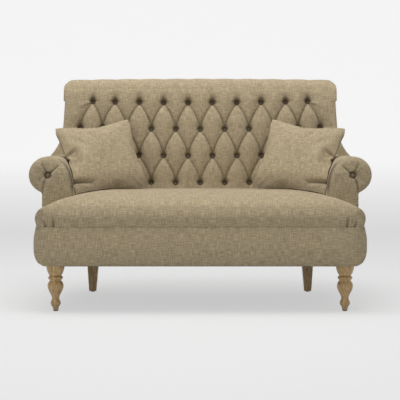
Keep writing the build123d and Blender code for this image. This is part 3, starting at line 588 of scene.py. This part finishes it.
# %% Where each vertex lies on the cover
spots = vertex_array(back)
v = sin(rake) * (spots[:, 1] - back_foot_y) + cos(rake) * (spots[:, 2] - base_z)
w = -cos(rake) * (spots[:, 1] - back_foot_y) + sin(rake) * (spots[:, 2] - base_z)
turn = np.where(v > top_front_v, np.arctan2(v - top_front_v, np.maximum(w - top_front_w, 1e-6)), 0)
turn = np.clip(turn, 0, pi / 2)
run = np.where(v > top_front_v, top_front_v + top_front_radius * turn, v)
out_y = -cos(rake) * np.cos(turn) + sin(rake) * np.sin(turn)
out_z = sin(rake) * np.cos(turn) + cos(rake) * np.sin(turn)
outward = np.stack([np.zeros(len(v)), out_y, out_z], 1)
front = (w > top_front_w - 0.01) & ((w > back_thickness - 0.03) | (v > top_front_v))
print("cover map:", int(front.sum()), "vertices on the front and the roll")

# %% How deep each vertex sinks
valley_reach, valley_depth, line_width, line_depth = 0.048, 0.012, 0.0042, 0.004
pit_radius, pit_depth, bowl_radius, bowl_depth = 0.0135, 0.020, 0.030, 0.010
# Painted shade: a dark line along each pleat, the dark well round each button and a dark hood above it, where
# the well's upper slope faces down
line_shade, line_shade_width, pit_shade, hood_shade = 0.55, 0.0032, 0.90, 0.42
hood_width, hood_height, hood_rise, well_rise = 0.011, 0.017, 0.016, 0.004
button_list = [place for row in button_rows for place in row]
pleat_tree = point_tree(pleat_points)
button_tree = point_tree([(x, button_v + well_rise) for x, button_v in button_list])
sink = np.zeros(len(v))
painted_shade = np.zeros(len(v))
for i in np.nonzero(front)[0]:
    spot = (spots[i, 0], run[i], 0)
    _, nearest, far = pleat_tree.find(spot)
    button_spot, _, from_button = button_tree.find(spot)
    valley = max(0.0, 1 - far / valley_reach) ** 2
    pit = bell(from_button, pit_radius, 4)
    groove = pleat_depths[nearest] * (valley_depth * valley + line_depth * bell(far, line_width))
    sink[i] = groove * (1 - 0.5 * pit) + bowl_depth * bell(from_button, bowl_radius) + pit_depth * pit
    line = line_shade * pleat_shades[nearest] * bell(far, line_shade_width)
    aside, above = spot[0] - button_spot[0], spot[1] - button_spot[1]
    hood = hood_shade * bell(aside, hood_width) * bell(above - hood_rise, hood_height)
    painted_shade[i] = max(line, hood, pit_shade * pit)
print("deepest well:", round(float(sink.max()) * 1000, 1), "mm")

# %% Push the cover in and out
swell, scallop_depth, roll_back_depth, top_arch, low_back_shade = 0.003, 0.0048, 0.010, 0.006, 0.12
inset_top_z, arch_foot_z, arch_top_z = 0.864, 0.85, 0.95
half_width = back_half + 0.4 * np.maximum(0, 0.70 - spots[:, 2])
edge = climb(np.abs(spots[:, 0]), half_width, half_width - 0.03)
depth_fade = climb(w, top_front_w - 0.01, top_front_w + 0.04)
upper = climb(run, top_front_v - 0.03, top_front_v + 0.03)
scallop = scallop_depth * (np.abs(np.cos(pi * spots[:, 0] / column_pitch)) - 0.5) * upper
roll_back = roll_back_depth * climb(run, 0.655, 0.715) ** 1.5 * np.cos(turn)
amount = (swell - sink + scallop - roll_back) * edge * depth_fade
# Painted shade on the lower back, darker towards the seat, where the seat shades it
seat_shade = low_back_shade * climb(spots[:, 2], 0.70, 0.48)
beside = np.sign(spots[:, 0]) * climb(np.abs(spots[:, 0]), 0.56, 0.60)
spots[:, 0] -= beside * side_inset(spots[:, 2]) * climb(spots[:, 2], inset_top_z, inset_top_z - 0.005)
arch = top_arch * (1 - (spots[:, 0] / back_half) ** 2) - 0.002
spots[:, 2] += arch * climb(spots[:, 2], arch_foot_z, arch_top_z)
place_vertices(back, spots + outward * amount[:, None])
paint_shade(back, np.maximum(painted_shade, seat_shade) * edge)
dress(back, linen, "linen", "sofa", "back_pad", fill=0.75)

# %% Covered buttons
bm = bmesh.new()
for x, button_v in button_list:
    y, z = raked(button_v, back_thickness - 0.0305)
    seat = Matrix.Translation((x, y, z)) @ Matrix.Rotation(-rake, 4, "X") @ Matrix.Diagonal((1, 0.55, 1, 1))
    bmesh.ops.create_uvsphere(bm, u_segments=20, v_segments=12, radius=0.0098, matrix=seat)
buttons = object_from(bm, "covered_buttons")
# Painted shade: the buttons sit deep in the shade of their wells, so they are painted dark all over
paint_shade(buttons, np.full(len(buttons.data.vertices), 0.72))
dress(buttons, linen, "linen", "sofa", "back_buttons", fill=1.0)

# %% Outside back
panel_side_x, panel_lift = 0.640, 0.004
panel_top_z = raked(top_rear_v - 0.004, panel_thickness)[1]
panel_line = [(x, z) for x, z in back_outline(panel_side_x, base_z + panel_gap) if z < panel_top_z]
panel_line = [(x - np.sign(x) * side_inset(z), z) for x, z in panel_line]
bm = bmesh.new()
face = bm.faces.new([bm.verts.new((x, rear_plane_y(z, panel_thickness), z)) for x, z in panel_line])
bmesh.ops.recalc_face_normals(bm, faces=bm.faces)
made = bmesh.ops.extrude_face_region(bm, geom=[face])
lifted = [item for item in made["geom"] if isinstance(item, bmesh.types.BMVert)]
bmesh.ops.translate(bm, verts=lifted, vec=(0, panel_lift * cos(rake), -panel_lift * sin(rake)))
# Three small steps from the edge inwards puff the panel up a little
rear = [item for item in made["geom"] if isinstance(item, bmesh.types.BMFace)]
for _ in range(3):
    bmesh.ops.inset_region(bm, faces=rear, thickness=0.010, depth=0.0006)
outside_back = object_from(bm, "outside_back_panel")
dress(outside_back, linen, "linen", "sofa", "outside_back", fill=0.5)

# %% [markdown]
# ## Scroll arms
# Each arm is a horizontal roll over a padded wall, closed in front by a facing that is gathered into a
# covered button. The arm's cross-section is extruded from front to back and padded. The gathers are pressed
# in afterwards.

# %% Arm form
arm_front_y, facing_rear_y, foam_z = -0.2875, -0.2600, 0.2985
arm_inner_x, arm_outer_x, arm_slab_x = 0.515, 0.640, 0.575
# The inner wall is a hollow arc, and the roll's inner flank a wider arc that carries on at the same angle
wall_centre, wall_radius, wall_foot_turn, flank_turn = (0.7213, 0.48676), 0.20866, 188.48, 159.46
flank_z, flank_radius = 0.52702, 0.09398


def arm_outline(outer_x, low_z):
    """The right arm's cross-section as X and Z, from the foot of its inner wall up and round the roll."""
    points = [(arm_inner_x, low_z)]
    points += arc(wall_centre, wall_radius, wall_foot_turn, flank_turn)
    points += arc((roll_x, flank_z), flank_radius, flank_turn, 90)[1:]
    roll_end = -np.degrees(np.arccos((outer_x - roll_x) / roll_radius))
    points += arc((roll_x, roll_z), roll_radius, 90, roll_end, 24)[1:]
    return points + [(outer_x, low_z)]


def make_arm(side, name):
    """One arm's padded roll, wall and front facing, on the right for side 1 and on the left for side -1."""
    bm = bmesh.new()
    facing = [(side * x, arm_front_y, z) for x, z in arm_outline(arm_outer_x, foam_z)]
    add_prism(bm, facing, (0, facing_rear_y - arm_front_y, 0))
    old = set(bm.verts)
    wall = [(side * x, facing_rear_y - 0.004, z) for x, z in arm_outline(arm_slab_x, foam_z)]
    add_prism(bm, wall, (0, 0.5, 0))
    for vert in set(bm.verts) - old:
        if vert.co.y > 0:
            vert.co.y = rear_plane_y(vert.co.z, back_thickness + 0.0015)
    arm = object_from(bm, name)
    upholster(arm, 0.0032, 12)
    return arm


def segment_distance(points, start, end):
    """Distance of each X, Z point to a straight segment, and how far along it the nearest spot is."""
    line = np.array(end) - np.array(start)
    share = np.clip(((points - np.array(start)) @ line) / (line @ line), 0, 1)
    return np.linalg.norm(points - (np.array(start) + share[:, None] * line), axis=1), share


print("arm outline:", len(arm_outline(arm_outer_x, foam_z)), "points")

# %% Gathers of the facing
# Each gather runs from one X, Z place to another, counted from the button, with its depth and the darkness of
# the painted shade along it
gathers = [
    ((0.006, 0.012), (0.0225, 0.040), 0.0060, 0.75),
    ((0.0225, 0.040), (0.024, 0.052), 0.0030, 0.30),
    ((-0.008, 0.007), (-0.042, 0.037), 0.0060, 0.75),
    ((0.0, 0.0), (0.037, 0.025), 0.0030, 0.30),
    ((0.0, 0.0), (0.041, 0.010), 0.0030, 0.32),
    ((0.0, 0.0), (0.042, -0.004), 0.0030, 0.30),
    ((0.0, 0.0), (0.058, -0.029), 0.0030, 0.22),
    ((0.007, -0.010), (0.015, -0.028), 0.0050, 0.70),
    ((0.015, -0.028), (0.020, -0.050), 0.0050, 0.70),
    ((0.020, -0.050), (0.0245, -0.074), 0.0040, 0.60),
]
# The plump panel of the stem ends at this line: drops below the button, and how far out the line is there
stem_drops, stem_outs = [0, 0.010, 0.028, 0.050, 0.074, 0.12], [0, 0.007, 0.015, 0.020, 0.0245, 0.029]
well_radius, well_depth, well_shade = 0.0135, 0.018, 0.85
dome_radius, dome_height, stem_height, roll_growth = 0.072, 0.005, 0.008, 0.004
rim_reach, rim_depth, recess_depth, recess_shade, rim_shade = 0.026, 0.012, 0.013, 0.45, 0.80
print("gathers on each facing:", len(gathers))


# %% Shape the facings
def rim_distance(spots, plan):
    """How far each vertex of a facing is from the facing's rim, and 1 for the vertices behind the facing."""
    rim = np.array(arm_outline(arm_outer_x, foam_z)) - (roll_x, roll_z)
    steps = np.linspace(0, len(rim) - 1, 400)
    rim_tree = point_tree(list(zip(*(np.interp(steps, range(len(rim)), column) for column in rim.T))))
    far = np.ones(len(spots))
    for i in np.nonzero(spots[:, 1] < facing_rear_y)[0]:
        far[i] = rim_tree.find((*plan[i], 0))[2]
    return far


def cushion_nook(spots, out, from_rim):
    """How far the wall behind a facing is drawn in beside the cushion, and the painted shade there and on the
    facing's rim.
    """
    y, z = spots[:, 1], spots[:, 2]
    at_cushion = climb(z, 0.465, 0.500) * climb(z, 0.615, 0.585) * (out < -0.03)
    behind = climb(y, facing_rear_y, facing_rear_y + 0.012) * at_cushion
    nook = recess_shade * behind * bell(y - facing_rear_y - 0.012, 0.016)
    rim_width = 0.0055 + 0.0045 * climb(z, 0.60, 0.50)
    rim_front = at_cushion * climb(y, arm_front_y + 0.014, arm_front_y + 0.004)
    return recess_depth * behind, np.maximum(nook, rim_shade * rim_front * bell(from_rim, rim_width))


def gather_facing(arm, side):
    """Presses the button's well and the gathers into an arm's front, and rounds its rim."""
    spots = vertex_array(arm)
    plan = np.stack([side * spots[:, 0] - roll_x, spots[:, 2] - roll_z], 1)
    out, up = plan[:, 0], plan[:, 1]
    from_button = np.hypot(out, up)
    from_rim = rim_distance(spots, plan)
    recess, shade = cushion_nook(spots, out, from_rim)
    grow = roll_growth * climb(from_button, 0.045, 0.075) * climb(up, -0.09, -0.04) * (out > -0.03)
    spots[:, 0] += side * (out / np.maximum(from_button, 1e-6) * grow + recess)
    dome = dome_height * np.clip(1 - (from_button / dome_radius) ** 2, 0, 1)
    inside = np.where(up < 0, np.interp(-up, stem_drops, stem_outs) - out, (-0.88 * out - up) / 1.33)
    panel = climb(inside, 0, 0.011)
    stem = stem_height * panel * (2 - panel) * climb(up, 0.050, 0.010)
    amount = well_depth * bell(from_button, well_radius, 4) - dome - stem
    # Painted shade: a dark ring in the button's well and dark lines along the gathers
    painted_shade = well_shade * bell(from_button - 0.0105, 0.0045)
    for start, end, deep, darkness in gathers:
        far, share = segment_distance(plan, start, end)
        fade = 1 - 0.6 * share
        amount += deep * fade * bell(far, 0.0045)
        painted_shade = np.maximum(painted_shade, darkness * fade * bell(far, 0.0034))
    amount += rim_depth * np.clip(1 - from_rim / rim_reach, 0, 1) ** 2
    mask = climb(spots[:, 1], facing_rear_y, facing_rear_y - 0.02)
    spots[:, 1] += amount * mask
    place_vertices(arm, spots)
    paint_shade(arm, np.maximum(painted_shade * mask, shade))


for side, hand in ((1, "right"), (-1, "left")):
    arm = make_arm(side, f"{hand}_scroll_arm")
    gather_facing(arm, side)
    dress(arm, linen, "linen", "sofa", f"{hand}_arm_pad", f"{hand}_arm_facing", fill=0.8)

# %% Arm buttons and outside arm panels
arm_panel_x, arm_panel_pad, arm_panel_top = 0.6205, 0.019, 0.4835
low, high, front_edge = base_z + panel_gap, arm_panel_top, facing_rear_y + panel_gap
panel_w = panel_thickness + panel_gap
panel_line = [
    (arm_front_y + panel_gap, low),
    (rear_plane_y(low, panel_w), low),
    (rear_plane_y(high, panel_w), high),
    (front_edge, high),
    (front_edge, foam_z - panel_gap),
    (arm_front_y + panel_gap, foam_z - panel_gap),
]
for side, hand in ((1, "right"), (-1, "left")):
    bm = bmesh.new()
    seat = Matrix.Translation((side * roll_x, arm_front_y + 0.007, roll_z)) @ Matrix.Diagonal((1, 0.55, 1, 1))
    bmesh.ops.create_uvsphere(bm, u_segments=24, v_segments=14, radius=0.0100, matrix=seat)
    button = object_from(bm, f"{hand}_covered_arm_button")
    # Painted shade: the arm button sits in the shade of its well, so it is painted darker all over
    paint_shade(button, np.full(len(button.data.vertices), 0.45))
    dress(button, linen, "linen", "sofa", f"{hand}_arm_button", fill=1.0)
    sheet = [(side * arm_panel_x, y, z) for y, z in panel_line]
    panel = prism(f"{hand}_outside_arm_panel", sheet, (side * arm_panel_pad, 0, 0))
    upholster(panel, 0.005, 4)
    dress(panel, linen, "linen", "sofa", f"{hand}_outside_arm", fill=0.6)

# %% [markdown]
# ## Bench seat and border
# The seat is one tight bench whose front ends wrap round the arms. Below a seam, a padded border covers the
# rail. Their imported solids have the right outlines, so copies of those meshes are padded and then get their
# tucks.


# %% Seat and border
def padded_copy(node, name, voxel, rounds):
    """A padded skin over a copy of a CAD node's mesh."""
    bm = bmesh.new()
    bm.from_mesh(cad[node].data)
    bmesh.ops.remove_doubles(bm, verts=bm.verts, dist=0.00002)
    made = object_from(bm, name)
    upholster(made, voxel, rounds)
    return made


seam_z, seam_shade, seam_draw, fold_depth = 0.340, 0.06, 0.006, 0.006


def tuck(piece, folds, close_up):
    """Draws a piece in at the seam, closes the seam and presses short folds into its front."""
    spots = vertex_array(piece)
    plan = np.stack([np.abs(spots[:, 0]), spots[:, 2]], 1)
    from_seam = plan[:, 1] - seam_z
    spots[:, 0] -= np.sign(spots[:, 0]) * seam_draw * bell(from_seam, 0.030) * climb(plan[:, 0], 0.60, 0.65)
    spots[:, 2] += close_up * bell(from_seam, 0.014)
    # Painted shade: a faint dark line along the seam and darker lines in the folds
    painted_shade = seam_shade * bell(spots[:, 2] - seam_z, 0.0045)
    in_front = climb(spots[:, 1], -0.33, -0.35)
    for start, end in folds:
        far, share = segment_distance(plan, start, end)
        spots[:, 1] += fold_depth * (1 - 0.7 * share) * bell(far, 0.0050) * in_front
        painted_shade = np.maximum(painted_shade, (0.85 - 0.45 * share) * bell(far, 0.0042) * in_front)
    place_vertices(piece, spots)
    paint_shade(piece, painted_shade)


nose_depth, nose_z, nose_height = 0.016, 0.447, 0.024
seat_folds = [((0.609, 0.342), (0.618, 0.366)), ((0.579, 0.342), (0.581, 0.379))]
seat = padded_copy("seat_foam", "bench_seat", 0.0050, 5)
spots = vertex_array(seat)
spots[:, 1] -= nose_depth * bell(spots[:, 2] - nose_z, nose_height) * climb(spots[:, 1], -0.24, -0.32)
place_vertices(seat, spots)
border = padded_copy("front_border", "padded_border", 0.0040, 3)
tuck(seat, seat_folds, -0.004)
tuck(border, [], 0.003)
dress(seat, linen, "linen", "sofa", "seat_foam", fill=0.7)
dress(border, linen, "linen", "sofa", "front_border", fill=0.7)

# %% [markdown]
# ## Scatter cushions
# A knife-edge cushion is two square panels sewn along their edges and stuffed, so its sides pull in and its
# corners stand out. That is what a cloth simulation does well: two flat grids are welded at the rim and blown
# up with pressure. The filled cushion then sags, its corners are blunted, and it is leaned into the sofa's
# corner, where the arm, the seat and the back press it flat.


# %% Sew and fill a cushion
def sewn_panels(name, half, cells):
    """Two square panels joined along their rims, lying flat."""
    bm = bmesh.new()
    bmesh.ops.create_grid(bm, x_segments=cells, y_segments=cells, size=half)
    upper = list(bm.verts)
    made = bmesh.ops.duplicate(bm, geom=bm.verts[:] + bm.edges[:] + bm.faces[:])
    lower = [item for item in made["geom"] if isinstance(item, bmesh.types.BMVert)]
    under = [item for item in made["geom"] if isinstance(item, bmesh.types.BMFace)]
    bmesh.ops.reverse_faces(bm, faces=under)
    for sign, verts in ((1, upper), (-1, lower)):
        for vert in verts:
            x, y = vert.co.x / half, vert.co.y / half
            vert.co.z = sign * 0.012 * (1 - x**2) * (1 - y**2)
            vert.co.x *= 1 + 0.04 * (1 - y**2)
            vert.co.y *= 1 + 0.04 * (1 - x**2)
    bmesh.ops.remove_doubles(bm, verts=bm.verts, dist=0.00001)
    return object_from(bm, name)


def stuff(piece, pressure, frames):
    """Blows a closed piece up like a stuffed one with a cloth simulation."""
    cloth = piece.modifiers.new("stuffing", "CLOTH")
    cloth.settings.quality = 6
    cloth.settings.mass = 0.2
    cloth.settings.tension_stiffness = 80
    cloth.settings.compression_stiffness = 80
    cloth.settings.bending_stiffness = 0.5
    cloth.settings.use_pressure = True
    cloth.settings.uniform_pressure_force = pressure
    cloth.settings.effector_weights.gravity = 0
    cloth.point_cache.frame_end = frames
    for number in range(1, frames + 1):
        bpy.context.scene.frame_set(number)
    bake_modifiers(piece)
    bpy.context.scene.frame_set(1)


cushion = sewn_panels("right_scatter_cushion", 0.178, 56)
weave_map(cushion)
stuff(cushion, 2.5, 24)
finer = cushion.modifiers.new("finer", "SUBSURF")
finer.levels = finer.render_levels = 1
bake_modifiers(cushion)
filled = vertex_array(cushion)
print("cushion filled to", np.round(np.ptp(filled, axis=0), 3))

# %% Sag the cushion and blunt its corners
half_side, top_sag, foot_stretch, corner_stretch = 0.172, 0.014, 1.16, 0.030
corner_start, corner_left = 0.68, 0.33
across, upward = filled[:, 0] / half_side, filled[:, 1] / half_side
filled[:, 1] -= top_sag * np.clip(1 - across**2, 0, 1) * np.clip(upward, 0, 1) ** 2
filled[:, 1] *= np.where(upward < 0, foot_stretch, 1.0)
# What lies past the start of a corner is drawn from a square's reach towards a circle's
inside = np.minimum(np.abs(filled[:, :2]), corner_start * half_side)
corner = np.abs(filled[:, :2]) - inside
longer, shorter, slant = corner.max(1), corner.min(1), np.maximum(np.hypot(*corner.T), 1e-9)
blunt = np.where(longer > 0, longer / slant * (1 + corner_left * shorter / np.maximum(longer, 1e-9)), 1)
filled[:, :2] = np.sign(filled[:, :2]) * (inside + corner * blunt[:, None])
filled[:, 0] -= corner_stretch * np.clip(-across, 0, 1) ** 2 * np.clip(upward, 0, 1) ** 1.5
print("cushion shaped to", np.round(np.ptp(filled, axis=0), 3))

# %% Press two folds into the cushion
# Painted shade: dark lines in the two folds, and a darker lower part of the cushion, which lies in shade
# against the seat
low_shade = 0.52
painted_shade = np.zeros(len(filled))
for start, end, deep, darkness in (
    ((0.172, -0.094), (0.090, -0.119), 0.020, 1.0),
    ((0.172, 0.020), (0.128, 0.036), 0.010, 0.70),
):
    far, share = segment_distance(filled[:, :2], start, end)
    fold = (1 - 0.5 * share) * (filled[:, 2] > 0)
    filled[:, 2] -= deep * fold * bell(far, 0.010)
    painted_shade = np.maximum(painted_shade, darkness * fold * bell(far, 0.0062))
place_vertices(cushion, filled)
paint_shade(cushion, np.maximum(painted_shade, low_shade * climb(upward, -0.42, -0.82)))
print("cushion folds pressed in, deepest tint", round(float(painted_shade.max()), 2))

# %% Lean the cushions into their corners
corner_pull = np.clip(across, 0, 1) ** 1.5 * climb(upward, 0.45, -1.0) ** 1.3
corner_forward = 0.090
cushion_place = (
    Matrix.Translation((0.423, -0.0045, 0.608))
    @ Matrix.Rotation(radians(-26.4), 4, "Z")
    @ Matrix.Rotation(radians(61.4), 4, "X")
    @ Matrix.Rotation(radians(-7.0), 4, "Z")
)
cushion.data.transform(cushion_place)
leaned = vertex_array(cushion)
leaned[:, 1] -= corner_forward * corner_pull
place_vertices(cushion, leaned)
# Three rounds press the cushion out of its neighbours, with less distance and less smoothing each time
for gap, rounds in ((0.004, 6), (0.003, 2), (0.002, 0)):
    for name in ("right_scroll_arm", "bench_seat", "buttoned_back"):
        press = cushion.modifiers.new("press_" + name, "SHRINKWRAP")
        press.target = bpy.data.objects[name]
        press.wrap_method = "NEAREST_SURFACEPOINT"
        press.wrap_mode = "OUTSIDE"
        press.offset = gap
    if rounds:
        ease = cushion.modifiers.new("ease", "SMOOTH")
        ease.factor = 0.5
        ease.iterations = rounds
bake_modifiers(cushion)
twin = cushion.copy()
twin.data = cushion.data.copy()
twin.name = twin.data.name = "left_scatter_cushion"
bpy.context.scene.collection.objects.link(twin)
twin.data.transform(Matrix.Diagonal((-1, 1, 1, 1)))
twin.data.flip_normals()
dress(cushion, linen, "linen", "right_cushion", "right_cushion_cover", "right_cushion_fill", fill=0.6)
dress(twin, linen, "linen", "left_cushion", "left_cushion_cover", "left_cushion_fill", fill=0.6)

# %% [markdown]
# ## The frame's own finishes
# The legs, rails, webbing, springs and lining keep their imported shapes. Each only needs its finish.

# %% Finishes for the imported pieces
finishes = {
    "leg_wood": oak,
    "frame_wood": beech,
    "webbing": jute,
    "lining": lining,
    "steel": zinc,
    "glide": nylon,
    "foam": wadding,
    "linen": linen,
}
for row in frame["record"]["subparts"]:
    node = cad[row["node"]]
    node.data.materials.clear()
    node.data.materials.append(finishes[row["material_slot"]])
